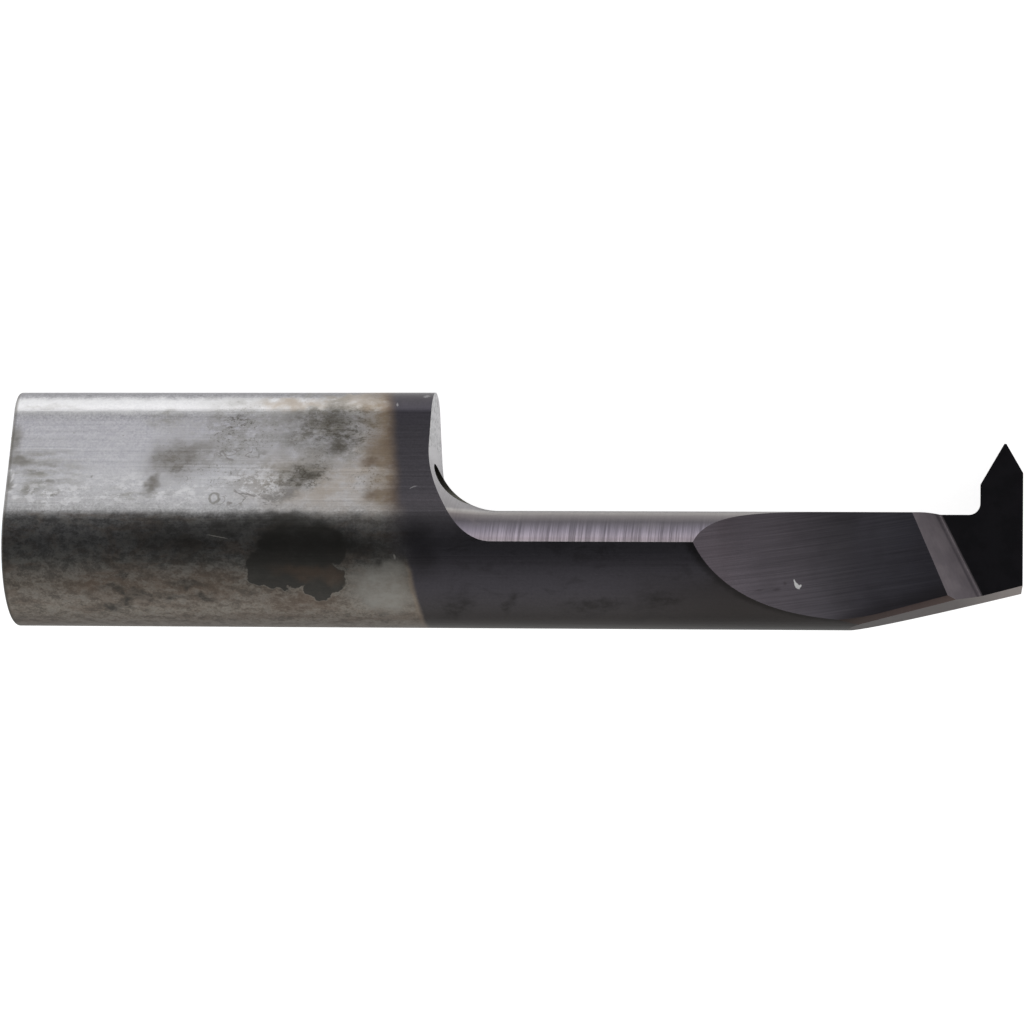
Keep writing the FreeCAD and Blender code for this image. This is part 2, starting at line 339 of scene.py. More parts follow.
# Stains on the near side, in the order in which they lie on each other: colour, mottling, kind of
# border, its softness, strength where the mottling is thin and thick, and spots. A spot is X, Y,
# half length and half height in millimetres, and its turn in degrees.
stainLayers = {
    "veil": ("olive", "cloudy", "torn", 0.8, (0.1, 0.4), [
        (6.4, 2.75, 1.3, 0.46, 4), (7.6, 3.4, 0.9, 0.6, 0), (8.3, 2.1, 0.6, 0.3, 0),
        (6.4, 3.7, 0.5, 0.22, 0), (4.9, 3.55, 0.6, 0.26, -10)]),
    "dirt": ("grey", "speckled", "torn", 0.85, (0.0, 0.52), [
        (6.85, 3.45, 1.05, 0.66, 0), (6.5, 2.72, 1.1, 0.34, 6), (7.7, 2.05, 0.95, 0.42, 15),
        (4.7, 3.75, 0.5, 0.18, 0), (10.6, 2.6, 0.6, 0.34, 0)]),
    "bandDirt": ("olive", "cloudy", "torn", 0.9, (0.05, 0.45), [
        (6.9, 4.22, 1.0, 0.16, 0), (1.1, 4.08, 0.9, 0.07, 0)]),
    "warmth": ("warm", "cloudy", "torn", 0.8, (0.3, 0.85), [
        (9.7, 1.75, 2.0, 0.8, 0), (10.9, 2.2, 0.75, 1.2, 0), (8.6, 4.16, 0.95, 0.16, 0),
        (10.5, 4.16, 0.75, 0.2, 0)]),
    "haze": ("grey", "cloudy", "torn", 0.85, (0.4, 0.92), [
        (9.55, 3.4, 1.35, 0.8, 10), (9.9, 3.35, 0.6, 0.85, 0), (8.9, 2.05, 0.95, 0.4, 22),
        (10.9, 3.5, 0.7, 0.35, 0), (8.85, 3.7, 0.7, 0.44, 0)]),
    "grain": ("soot", "speckled", "torn", 0.75, (0.0, 0.54), [
        (9.6, 3.4, 1.25, 0.78, 0), (8.85, 1.95, 0.7, 0.24, 20), (8.3, 1.45, 0.55, 0.2, 10),
        (10.6, 3.62, 0.7, 0.2, -10)]),
    "core": ("soot", "cloudy", "torn", 0.7, (0.3, 0.85), [
        (9.95, 3.0, 0.42, 0.34, 0), (9.72, 3.85, 0.3, 0.26, 0), (9.1, 1.95, 0.34, 0.12, 15)]),
    "pepper": ("soot", "peppered", "torn", 0.85, (0.0, 0.75), [
        (9.7, 3.35, 1.3, 0.85, 0), (8.9, 2.0, 1.0, 0.42, 15), (6.95, 3.3, 1.2, 0.75, 0),
        (5.1, 2.6, 0.9, 0.48, 10), (6.2, 2.05, 1.1, 0.4, 0), (10.9, 2.0, 0.6, 0.6, 0)]),
    "veins": ("soot", "veined", "torn", 0.5, (0.0, 0.78), [
        (10.3, 3.55, 1.3, 0.52, 0), (9.1, 2.0, 0.6, 0.4, 0), (6.6, 3.7, 0.5, 0.2, 0),
        (5.1, 2.4, 0.5, 0.4, 0)]),
    "cracks": ("ash", "cracked", "torn", 0.3, (0.0, 0.9), [
        (7.7, 1.38, 1.25, 0.36, 8), (6.9, 2.66, 0.8, 0.2, 0)]),
    "streakCloud": ("olive", "streaked", "torn", 0.8, (0.0, 0.8), [
        (1.0, 2.0, 1.2, 0.72, 0), (4.1, 1.45, 0.8, 0.26, 0)]),
    "streaks": ("grey", "speckled", "fine", 0.8, (0.2, 0.66), [
        (0.98, 2.62, 0.4, 0.06, 0), (1.2, 2.32, 0.42, 0.06, -4), (0.8, 2.08, 0.34, 0.085, -6),
        (1.22, 1.8, 0.36, 0.07, 4), (0.72, 1.52, 0.26, 0.12, 0), (1.5, 1.42, 0.18, 0.06, 30)]),
    "rear": ("grey", "cloudy", "fine", 0.6, (0.45, 0.8), [
        (0.12, 3.05, 0.22, 0.42, -8), (0.36, 2.44, 0.36, 0.17, -14), (0.14, 1.72, 0.1, 0.24, 0),
        (0.16, 2.52, 0.2, 0.3, 0)]),
    "frost": ("white", "frosted", "torn", 0.7, (0.0, 0.9), [
        (1.7, 1.35, 1.4, 0.36, 0), (3.3, 1.6, 1.3, 0.5, 0), (5.4, 1.45, 1.5, 0.36, 4),
        (7.4, 1.7, 0.9, 0.4, 0)]),
    "smudge": ("ash", "cloudy", "torn", 0.9, (0.7, 1.0), [
        (5.05, 2.45, 0.74, 0.52, 16), (5.55, 2.78, 0.6, 0.2, 8), (4.45, 1.8, 0.46, 0.16, 58)]),
    "smudgeCore": ("grey", "speckled", "torn", 0.9, (0.15, 0.75), [
        (5.0, 2.5, 0.5, 0.34, 16), (4.4, 1.72, 0.26, 0.08, 58)]),
    "topBrown": ("warm", "speckled", "torn", 0.6, (0.2, 0.72), [
        (8.6, 4.2, 1.0, 0.14, 0), (10.1, 4.34, 0.6, 0.1, 0)]),
    "topGrey": ("grey", "speckled", "torn", 0.7, (0.1, 0.62), [
        (9.78, 4.24, 0.3, 0.22, 20), (9.4, 3.98, 0.4, 0.1, 0), (8.6, 4.5, 0.6, 0.05, 0)]),
    "burn": ("brown", "cloudy", "torn", 0.75, (0.55, 0.9), [
        (11.1, 2.42, 0.48, 0.18, 0), (11.2, 1.45, 0.36, 0.16, 0), (11.2, 2.9, 0.34, 0.4, 0)]),
    "underBlotch": ("brown", "speckled", "torn", 0.8, (0.2, 0.55), [
        (5.7, -1.3, 0.95, 0.46, 4), (8.7, -1.8, 1.3, 0.26, 0), (3.2, -1.25, 1.2, 0.3, 0)]),
    "paleField": ("pale", "speckled", "torn", 0.5, (0.5, 0.9), [
        (11.36, -1.34, 0.86, 0.6, -14), (11.66, -0.78, 0.42, 0.28, 0)]),
    "smoke": ("oil", "cloudy", "torn", 0.8, (0.45, 0.8), [
        (5.2, 0.1, 1.25, 0.48, -6), (7.0, 0.45, 1.1, 0.3, 8), (8.3, 0.74, 1.0, 0.2, 0),
        (10.75, -0.12, 0.9, 0.3, -12)]),
    "twigs": ("oil", "speckled", "torn", 0.8, (0.4, 0.85), [
        (3.66, -1.58, 0.3, 0.1, -62), (4.02, -1.56, 0.48, 0.1, -6), (3.3, -1.84, 0.34, 0.1, 4),
        (3.32, -1.4, 0.36, 0.08, 0), (3.62, -0.95, 0.16, 0.1, 40), (5.55, -1.24, 0.5, 0.1, 0),
        (5.2, -1.62, 0.44, 0.09, 0), (6.05, -1.62, 0.26, 0.12, 0)]),
    "specks": ("grey", "even", "fine", 0.6, (0.5, 0.5), [
        (8.62, 3.1, 0.045, 0.045, 0), (8.4, 3.45, 0.04, 0.03, 0), (8.85, 2.5, 0.04, 0.04, 0),
        (2.6, 1.95, 0.03, 0.03, 0), (7.9, 2.9, 0.035, 0.03, 0), (7.15, 1.12, 0.05, 0.03, 0),
        (3.4, 3.2, 0.025, 0.02, 0), (1.9, 3.3, 0.025, 0.02, 0)]),
    "scratch": ("bright", "even", "fine", 0.5, (0.8, 0.8), [
        (6.38, 0.17, 0.18, 0.016, -6), (6.66, 0.12, 0.15, 0.014, -14), (11.75, -0.42, 0.03, 0.06, 20)]),
    "chips": ("white", "even", "fine", 0.5, (0.75, 0.75), [
        (0.1, 2.13, 0.06, 0.05, 0), (0.2, 1.93, 0.035, 0.14, -12), (0.27, 1.66, 0.1, 0.035, 20),
        (0.14, 1.46, 0.12, 0.035, 8), (0.33, 1.3, 0.09, 0.06, 0)]),
}

blotch = {
    "spots": [(8.75, -0.3, 1.2, 0.92, 0), (9.5, -0.1, 0.88, 0.66, -8), (8.0, -0.72, 0.72, 0.58, 0),
              (9.6, -1.02, 0.7, 0.44, -14), (8.3, -1.06, 0.95, 0.28, 0), (9.46, -1.38, 0.44, 0.3, -8)],
    "brown": [(9.2, -0.9, 0.9, 0.2, -6), (9.95, -0.98, 0.3, 0.22, -30)],
    "ring": [(6.32, 1.3, 0.15, 0.14, 0)],
}

coating = {
    # where it ends on the shank: Y, then X
    "edge": [(-2.4, 12.5), (-1.66, 12.39), (-0.81, 12.25), (0.36, 11.98), (1.26, 11.87),
             (2.17, 11.8), (3.08, 11.64), (3.85, 11.54), (4.32, 11.46), (4.6, 11.4)],
    "edgeFrom": 11.0,
    "edgeTo": 13.0,
    # across the tool: Y, then the colour; the coating's tone with painted light and shade of the round
    "across": [
        (-2.4, (0.068, 0.059, 0.054)), (-1.9, (0.077, 0.071, 0.073)),
        (-1.3, (0.1, 0.093, 0.106)), (-0.54, (0.103, 0.097, 0.112)),
        (-0.28, (0.13, 0.125, 0.145)), (0.2, (0.142, 0.136, 0.156)),
        (0.8, (0.1, 0.094, 0.104)), (1.25, (0.124, 0.114, 0.128)),
        (1.6, (0.102, 0.095, 0.108)), (3.4, (0.07, 0.066, 0.076)),
        (4.0, (0.064, 0.06, 0.072)), (4.2, (0.092, 0.086, 0.099)),
        (4.58, (0.11, 0.102, 0.11)),
    ],
    # tones, most with their strength
    "ochre": (0.3, 0.238, 0.172, 1),
    "tint": ((0.172, 0.124, 0.09, 1), 0.9),
    "rim": ((0.33, 0.26, 0.2, 1), 0.42),
    "cloud": ((0.045, 0.042, 0.044, 1), 0.34),
    "worn": ((0.048, 0.042, 0.039, 1), 0.7),
    "shadow": (0.026, 0.024, 0.022, 1),
    "lineGrain": (0.14, 0.32, 0.68),
    "dustGrain": (0.2, 0.3, 0.7),
    "roughness": 0.3,
    "dusk": [(12.6, -0.5, 0.42, 0.45, 0), (12.4, 0.25, 0.42, 0.36, 0)],
    "smears": [(13.5, -1.9, 0.5, 0.2, 30), (15.1, -1.7, 0.3, 0.14, 60),
               (17.6, -1.75, 0.8, 0.16, 0), (19.6, -1.6, 0.55, 0.22, 10)],
    "marks": [(11.56, 4.15, 0.05, 0.03, -70), (12.4, 4.44, 0.1, 0.028, 0),
              (12.22, 1.65, 0.11, 0.018, 24)],
    "mark": ((0.5, 0.49, 0.5, 1), 0.45),
    "chips": [(12.66, 2.72, 0.06, 0.09, 0)],
    "chip": ((0.02, 0.02, 0.02, 1), 0.85),
}


# Height above the floor that the flute's wheel ground, from its own profile
def aboveFlute(tree, place):
    local = tree.mapped(place, (blank["length"] - flute["floorRun"], 0, 0),
                        (math.radians(90 - flute["tilt"]), 0, math.radians(flute["skew"])))
    along, up, _ = tree.split(local)
    centreUp = flute["floorHeight"] + flute["wheelRadius"]
    offset = tree.add("ShaderNodeCombineXYZ", {0: tree.least(along, 0.0),
                                               1: tree.difference(centreUp, up)}).outputs[0]
    fromCentre = tree.add("ShaderNodeVectorMath", {0: offset}, operation="LENGTH").outputs["Value"]
    return tree.difference(flute["wheelRadius"], fromCentre)


def drawnOn(tree, place, spots, side, soft):
    return tree.product(tree.spots(place, spots, soft), side)


# Noises: features per millimetre along each axis, scale, detail, roughness and bend
noises = {
    "grain": ((0.8, 1.2, 1.2), 3.6, 9.0, 0.72),
    "drift": ((0.45, 0.9, 0.9), 1.8, 8.0, 0.66, 0.6),
    "cloud": ((0.8, 1.1, 1.1), 1.9, 7.0, 0.68),
    "streak": ((1.3, 4.4, 4.4), 1.0, 8.0, 0.62),
    "crack": ((0.75, 1.35, 1.35), 1.7, 2.5, 0.55, 0.9),
    "vein": ((0.9, 2.6, 2.6), 2.2, 4.0, 0.6, 0.4),
}

# Noise, and where the pattern drawn from it fades in
patterns = {
    "speckled": ("grain", 0.38, 0.6),
    "frosted": ("grain", 0.54, 0.4),
    "cloudy": ("cloud", 0.34, 0.64),
    "streaked": ("streak", 0.42, 0.66),
}


# The noises by name, and the patterns drawn from them: specks, frost, clouds, streaks, cracks,
# pepper and veins
def makeMottling(tree, place):
    mottling = {name: tree.noise(tree.stretch(place, scale), *rest)
                for name, (scale, *rest) in noises.items()}
    mottling["dust"] = tree.noise(place, 14.0, 3.0, 0.75)
    for name, (noise, start, end) in patterns.items():
        mottling[name] = tree.step(mottling[noise], start, end)
    grain = mottling["grain"]
    mottling["cracked"] = tree.step(tree.offMiddle(mottling["crack"]), 0.032, 0.01)
    mottling["peppered"] = tree.product(tree.step(mottling["dust"], 0.5, 0.66),
                                        tree.step(grain, 0.38, 0.56))
    vein = tree.step(tree.offMiddle(mottling["vein"]), 0.06, 0.015)
    mottling["veined"] = tree.product(vein, tree.step(grain, 0.4, 0.56))
    return mottling


def makeBareMetal(tree, place, mottling, borders, nearSide, lines, below):
    x, y, _ = tree.split(place)
    waving = tree.spread(tree.step(y, 3.6, 2.4), 0.4, 1.0)
    wavyY = tree.split(tree.ragged(place, 2.2, 0.36, 7.0))[1]
    wavyY = tree.sum(y, tree.product(tree.difference(wavyY, y), waving))
    # bare metal tone with painted light and shade across the round
    bare = tree.bands(wavyY, bareMetal["across"])
    bare = tree.grained(bare, lines, *bareMetal["lineGrain"])
    for pattern, limits, grain in bareMetal["grains"]:
        bare = tree.grained(bare, tree.step(mottling[pattern], *limits), *grain)
    for pattern, limits, tone, strength in bareMetal["clouds"]:
        cloud = tree.product(tree.step(mottling[pattern], *limits), below)
        bare = tree.cover(bare, cloud, stainTones[tone], strength)
    for tone, pattern, border, soft, (thin, thick), spots in stainLayers.values():
        strength = thick if pattern == "even" else tree.spread(mottling[pattern], thin, thick)
        stain = drawnOn(tree, borders[border], spots, nearSide, soft)
        bare = tree.cover(bare, stain, stainTones[tone], strength)
    # painted shade: the rear edge round darkened, which dims its highlight
    rearEdgeShade = tree.step(x, 0.15, 0.06)
    bare = tree.cover(bare, rearEdgeShade, stainTones["soot"], 0.62)
    ring = tree.offMiddle(tree.nearestSpot(borders["fine"], blotch["ring"]), 1.0)
    ring = tree.product(tree.step(ring, 0.36, 0.1), nearSide)
    return tree.cover(bare, ring, stainTones["grey"], 0.6)


# Crisp along its lower border and soft along its upper one
def addBlotch(tree, bare, y, mottling, torn, nearSide):
    brown = drawnOn(tree, torn, blotch["brown"], nearSide, 0.7)
    oil = tree.cover(stainTones["oil"], brown, stainTones["oilBrown"], 0.9)
    distance = tree.nearestSpot(torn, blotch["spots"])
    rim = tree.product(tree.step(distance, 0.97, 1.03), tree.step(distance, 1.15, 1.06))
    rim = tree.product(rim, tree.step(y, -0.7, -1.1))
    bare = tree.cover(bare, tree.product(rim, nearSide), stainTones["pale"], 0.22)
    crisp = tree.step(distance, 1.06, 0.96)
    hazy = tree.step(distance, 1.3, 0.8)
    inside = tree.blend(tree.step(y, 0.0, -0.7), hazy, crisp)
    density = tree.spread(mottling["cloudy"], 0.88, 0.99)
    return tree.cover(bare, tree.product(inside, nearSide), oil, density)


# Distance past the coating's end, which wanders across the tool
def pastCoatingEnd(tree, place, x, y):
    reach = coating["edgeTo"] - coating["edgeFrom"]
    edge = tree.bands(y, [(at, ((end - coating["edgeFrom"]) / reach,) * 3)
                          for at, end in coating["edge"]])
    edge = tree.sum(tree.product(edge, reach), coating["edgeFrom"])
    wander = tree.noise(place, 1.7, 6.0, 0.62)
    return tree.sum(tree.difference(x, edge), tree.spread(wander, -0.09, 0.09))


# Ochre and brown heat tint ahead of the coating on the flat, and a pale rim below
def addHeatTint(tree, bare, beyond, y, mottling):
    frayed = tree.sum(beyond, tree.spread(mottling["drift"], -0.5, 0.5))
    onFlank = tree.spread(tree.step(y, 0.6, 1.3), 0.1, 1.0)
    ochre = tree.product(tree.step(frayed, -1.35, -0.25), onFlank)
    bare = tree.cover(bare, ochre, coating["ochre"], tree.spread(mottling["speckled"], 0.6, 0.92))
    tint = tree.product(tree.step(frayed, -0.62, 0.0), onFlank)
    bare = tree.cover(bare, tint, *coating["tint"])
    rim = tree.product(tree.step(beyond, -0.2, -0.08), tree.step(y, -0.4, -0.9))
    return tree.cover(bare, rim, *coating["rim"])


def makeCoating(tree, place, x, y, mottling, borders, nearSide, lines, below):
    # coating tone with painted light and shade across the round
    dark = tree.bands(y, coating["across"])
    dark = tree.grained(dark, lines, *coating["lineGrain"])
    dark = tree.grained(dark, tree.step(mottling["dust"], 0.25, 0.75), *coating["dustGrain"])
    cloud = tree.product(tree.step(mottling["drift"], 0.5, 0.66), below)
    dark = tree.cover(dark, cloud, *coating["cloud"])
    worn = tree.product(tree.step(x, 17.0, 22.0), tree.step(y, -0.6, -1.4))
    dark = tree.cover(dark, worn, *coating["worn"])
    dusk = drawnOn(tree, borders["torn"], coating["dusk"], nearSide, 0.8)
    dark = tree.cover(dark, dusk, coating["shadow"], 0.38)
    strength = tree.spread(mottling["speckled"], 0.15, 0.6)
    smears = drawnOn(tree, borders["torn"], coating["smears"], nearSide, 0.7)
    dark = tree.cover(dark, smears, coating["shadow"], strength)
    # painted shade: a ragged dark band on the lower round just outside the flute's edge
    foot = tree.sum(aboveFlute(tree, place), tree.spread(mottling["grain"], -0.14, 0.14))
    foot = tree.product(tree.step(foot, -0.24, -0.02), below)
    dark = tree.cover(dark, foot, coating["shadow"], 0.66)
    for spots, tone in (("marks", "mark"), ("chips", "chip")):
        drawn = drawnOn(tree, borders["fine"], coating[spots], nearSide, 0.4)
        dark = tree.cover(dark, drawn, *coating[tone])
    return dark


# How far noise pushes the borders of spots: scale, reach in millimetres and detail
borderNoise = {"torn": (2.4, 0.62, 8.0), "fine": (5.0, 0.16, 6.0)}


# Bare metal as far as the coating, whose end is softest midway up the tool
def makeSkin():
    tree, place = startMaterial("groundSkin")
    x, y, z = tree.split(place)
    nearSide = tree.step(z, *nearSideFrom)
    borders = {name: tree.ragged(place, *push) for name, push in borderNoise.items()}
    mottling = makeMottling(tree, place)
    lines = tree.lines(place, *bareMetal["lines"])
    below = tree.step(y, 0.95, 0.75)
    bare = makeBareMetal(tree, place, mottling, borders, nearSide, lines, below)
    bare = addBlotch(tree, bare, y, mottling, borders["torn"], nearSide)
    beyond = pastCoatingEnd(tree, place, x, y)
    bare = addHeatTint(tree, bare, beyond, y, mottling)
    midway = tree.product(tree.step(y, -0.8, -0.2), tree.step(y, 1.3, 0.9))
    coated = tree.blend(below, tree.step(beyond, -0.34, 0.1), tree.step(beyond, -0.12, 0.06))
    coated = tree.blend(midway, coated, tree.step(beyond, -0.75, 0.35))
    dark = makeCoating(tree, place, x, y, mottling, borders, nearSide, lines, below)
    colour = tree.mix(coated, bare, dark)
    roughness = tree.blend(coated, bareMetal["roughness"], coating["roughness"])
    height = tree.sum(lines, tree.product(mottling["grain"], 0.6))
    return tree.metal(colour, roughness, height, bareMetal["lineDepth"])


neckFinish = {
    # across the tool: Y, then the colour; the neck's tone with painted reflection and shade, darkest at
    # Y 0.65, light by the crest
    "across": [
        (0.07, (0.275, 0.244, 0.265)), (0.13, (0.286, 0.244, 0.28)), (0.2, (0.318, 0.279, 0.324)),
        (0.26, (0.3, 0.266, 0.312)), (0.33, (0.262, 0.234, 0.28)), (0.4, (0.228, 0.206, 0.246)),
        (0.52, (0.166, 0.151, 0.179)), (0.65, (0.108, 0.097, 0.111)), (0.72, (0.128, 0.113, 0.124)),
        (0.79, (0.16, 0.142, 0.149)), (0.86, (0.196, 0.174, 0.176)), (0.93, (0.34, 0.312, 0.3)),
        (1.0, (0.46, 0.442, 0.43)), (1.07, (0.31, 0.296, 0.305)), (3.0, (0.49, 0.48, 0.496)),
    ],
    "lines": ((19.0, 0.25, 0.25), 5.0, 0.68),
    "lineTones": (0.26, 0.74),
    "lineDepth": 0.004,
    "patch": ((0.22, 0.2, 0.21, 1), 0.25),
    "roughness": 0.3,
}


# Ground round an axis, so its lines run across the tool
def makeNeck():
    tree, place = startMaterial("groundNeck")
    x, y, _ = tree.split(place)
    # painted reflection and shade across the ground round
    colour = tree.bands(tree.split(tree.ragged(place, 1.5, 0.06))[1], neckFinish["across"])
    lines = tree.lines(place, *neckFinish["lines"])
    strength = tree.product(tree.step(y, 0.8, 0.3), tree.step(x, 13.9, 14.8))
    lined = tree.step(lines, 0.3, 0.7)
    colour = tree.grained(colour, lined, tree.spread(strength, 0.14, 1.0), *neckFinish["lineTones"])
    patches = tree.step(tree.lines(place, (1.2, 1.2, 1.2), 4.0, 0.6), 0.52, 0.7)
    colour = tree.cover(colour, patches, *neckFinish["patch"])
    return tree.metal(colour, neckFinish["roughness"], lines, neckFinish["lineDepth"])


faceFinish = {
    "dark": (0.43, 0.428, 0.435, 1),
    "light": (0.67, 0.665, 0.675, 1),
    "grainDepth": 0.015,
    "pit": ((0.1, 0.096, 0.096, 1), 0.9),
    "roughness": 0.5,
}


def makeFace():
    tree, place = startMaterial("rawFace")
    grain = tree.noise(place, 6.5, 6.0, 0.72)
    colour = tree.mix(tree.step(grain, 0.34, 0.6), faceFinish["dark"], faceFinish["light"])
    pits = tree.step(tree.noise(place, 4.6, 3.0, 0.6), 0.615, 0.66)
    colour = tree.cover(colour, pits, *faceFinish["pit"])
    return tree.metal(colour, faceFinish["roughness"], grain, faceFinish["grainDepth"])


# Height above the slanting lower outline of the head
def aboveOutline(tree, x, y):
    start = blank["length"] - bevels["length"]
    outline = tree.product(tree.difference(x, start), math.tan(math.radians(bevels["slope"])))
    return tree.difference(tree.sum(y, blank["bodyRadius"]), outline)


fluteFinish = {
    # along the tool: X, then the colour
    "along": [
        (20.6, (0.084, 0.072, 0.083)), (21.4, (0.098, 0.083, 0.095)), (22.0, (0.13, 0.114, 0.131)),
        (23.2, (0.172, 0.154, 0.175)), (24.2, (0.206, 0.19, 0.216)), (24.9, (0.222, 0.208, 0.238)),
        (25.4, (0.228, 0.215, 0.255)), (26.0, (0.211, 0.202, 0.24)), (26.7, (0.178, 0.172, 0.207)),
        (27.3, (0.148, 0.142, 0.172)), (28.0, (0.142, 0.134, 0.16)),
    ],
    "lines": ((0.34, 20.0, 0.34), 5.0, 0.66, 9.0),
    "lineGrain": (0.4, 0.3, 0.66),
    "lineDepth": 0.004,
    "deepLines": ((0.3, 9.0, 0.3), 4.0, 0.6, 9.0),
    # tones and strengths
    "deep": ((0.085, 0.078, 0.088, 1), 0.25),
    "brinkShade": ((0.05, 0.048, 0.048, 1), 0.5),
    "cloud": ((0.09, 0.082, 0.092, 1), 0.18),
    "shadeAboveBevel": ((0.062, 0.056, 0.058, 1), 0.52),
    "pits": [(22.9, -1.28, 0.1, 0.035, 9), (23.12, -1.1, 0.04, 0.04, 0),
             (22.4, -1.32, 0.12, 0.025, 9)],
    "pit": ((0.05, 0.04, 0.045, 1), 0.4),
    "fleck": [(23.42, -1.06, 0.028, 0.09, 14), (23.48, -1.16, 0.12, 0.05, -48),
              (23.56, -1.17, 0.06, 0.038, 42)],
    "fleckColour": (0.93, 0.93, 0.93, 1),
    "roughness": (0.33, 0.7),  # of the metal, then of the fleck
}


def makeFlute():
    tree, place = startMaterial("groundFlute")
    x, y, z = tree.split(place)
    lines = tree.lines(place, *fluteFinish["lines"])
    deep = tree.lines(place, *fluteFinish["deepLines"])
    colour = tree.bands(x, fluteFinish["along"])
    colour = tree.grained(colour, tree.step(lines, 0.32, 0.68), *fluteFinish["lineGrain"])
    colour = tree.cover(colour, tree.step(deep, 0.58, 0.72), *fluteFinish["deep"])
    # painted shade: darker along the flute's top edge
    colour = tree.cover(colour, tree.step(y, 0.96, 1.06), *fluteFinish["brinkShade"])
    cloud = tree.step(tree.noise(place, 1.1, 3.0, 0.5), 0.45, 0.7)
    colour = tree.cover(colour, cloud, *fluteFinish["cloud"])
    # painted shade: darker along the flute's lower border, just above the bevel, from X 24.2 on
    low = tree.step(aboveOutline(tree, x, y), 0.72, 0.3)
    low = tree.product(low, tree.step(x, 24.2, 25.2))
    colour = tree.cover(colour, low, *fluteFinish["shadeAboveBevel"])
    fine = tree.ragged(place, 6.0, 0.07)
    onFloor = tree.step(z, *nearSideFrom)
    pits = drawnOn(tree, fine, fluteFinish["pits"], onFloor, 0.8)
    colour = tree.cover(colour, pits, *fluteFinish["pit"])
    fleck = drawnOn(tree, fine, fluteFinish["fleck"], onFloor, 0.25)
    colour = tree.mix(fleck, colour, fluteFinish["fleckColour"])
    roughness = tree.mix(fleck, *[grey(level) for level in fluteFinish["roughness"]])
    metallic = tree.spread(fleck, 1.0, 0.0)
    return tree.metal(colour, roughness, lines, fluteFinish["lineDepth"], metallic)


stepFinish = {
    "colour": (0.122, 0.107, 0.117, 1),
    "worn": (0.146, 0.128, 0.138, 1),
    "lines": ((12.0, 0.5, 12.0), 4.0, 0.6, rake["skew"]),
    "lineGrain": (0.22, 0.3, 0.7),
    "lineDepth": 0.002,
    # painted shade: a dark line in the corner where the wall meets the rake face
    "footFrom": (-0.17, -0.1, -0.04),  # millimetres, a dark line along the rake face
    "foot": ((0.045, 0.04, 0.046, 1), 0.6),
    "roughness": 0.33,
}


def makeStep():
    tree, place = startMaterial("chipStep")
    lines = tree.lines(place, *stepFinish["lines"])
    cloud = tree.step(tree.noise(place, 2.0, 4.0, 0.6), 0.38, 0.66)
    colour = tree.mix(cloud, stepFinish["colour"], stepFinish["worn"])
    colour = tree.grained(colour, lines, *stepFinish["lineGrain"])
    alongFoot = tree.split(tree.mapped(place, (blank["length"] - rake["length"], 0, 0),
                                       (0, 0, math.radians(rake["skew"]))))[0]
    # painted shade along the foot of the wall
    before, middle, after = stepFinish["footFrom"]
    foot = tree.product(tree.step(alongFoot, before, middle), tree.step(alongFoot, after, middle))
    colour = tree.cover(colour, foot, *stepFinish["foot"])
    return tree.metal(colour, stepFinish["roughness"], lines, stepFinish["lineDepth"])


bevelFinish = {
    # up from the lower outline in millimetres, then the colour: painted light and shade, light by the
    # outline and dark higher up
    "up": [
        (0.0, (0.35, 0.318, 0.306)), (0.14, (0.3, 0.27, 0.258)), (0.3, (0.21, 0.185, 0.18)),
        (0.44, (0.15, 0.134, 0.14)), (0.62, (0.104, 0.095, 0.1)),
    ],
    # along the tool, then how much of that is left
    "along": [
        (24.0, (0.23, 0.215, 0.2)), (25.2, (0.29, 0.26, 0.25)), (26.5, (0.315, 0.262, 0.258)),
        (28.0, (0.38, 0.315, 0.3)), (28.8, (0.76, 0.69, 0.65)), (29.7, (1.28, 1.18, 1.12)),
    ],
    "lines": ((10.0, 0.6, 0.6), 4.0, 0.6),
    "lineGrain": (0.25, 0.3, 0.7),
    "lineDepth": 0.003,
    "roughness": 0.36,
}


def makeBevel():
    tree, place = startMaterial("backBevel")
    x, y, _ = tree.split(tree.ragged(place, 1.8, 0.12))
    # painted light and shade across the flat bevel
    colour = tree.bands(aboveOutline(tree, x, y), bevelFinish["up"])
    colour = tree.mix(1.0, colour, tree.bands(x, bevelFinish["along"]), "MULTIPLY")
    lines = tree.lines(place, *bevelFinish["lines"])
    colour = tree.grained(colour, lines, *bevelFinish["lineGrain"])
    return tree.metal(colour, bevelFinish["roughness"], lines, bevelFinish["lineDepth"])


rakeFinish = {
    "colour": (0.118, 0.112, 0.13, 1),
    "smear": (0.095, 0.092, 0.105, 1),
    "lines": ((16.0, 0.4, 0.4), 3.0, 0.5),
    "lineDepth": 0.0008,
    "roughness": (0.1, 0.16),  # clear, then clouded
}


def makeRake():
    tree, place = startMaterial("polishedRake")
    lines = tree.lines(place, *rakeFinish["lines"])
    cloud = tree.noise(place, 1.6, 4.0, 0.6)
    colour = tree.mix(tree.step(cloud, 0.4, 0.62), rakeFinish["colour"], rakeFinish["smear"])
    roughness = tree.mix(cloud, *[grey(level) for level in rakeFinish["roughness"]])
    return tree.metal(colour, roughness, lines, rakeFinish["lineDepth"])


reliefFinish = {
    "light": (0.15, 0.14, 0.15, 1),
    "dark": (0.105, 0.098, 0.106, 1),
    "lines": ((0.5, 0.5, 12.0), 4.0, 0.6),
    "lineDepth": 0.003,
    "roughness": 0.28,
}


def makeRelief():
    tree, place = startMaterial("toothRelief")
    lines = tree.lines(place, *reliefFinish["lines"])
    colour = tree.mix(lines, reliefFinish["dark"], reliefFinish["light"])
    return tree.metal(colour, reliefFinish["roughness"], lines, reliefFinish["lineDepth"])


boreFinish = {
    "dark": (0.105, 0.102, 0.088, 1),
    "light": (0.19, 0.186, 0.16, 1),
    "grainDepth": 0.01,
    "roughness": 0.55,
}


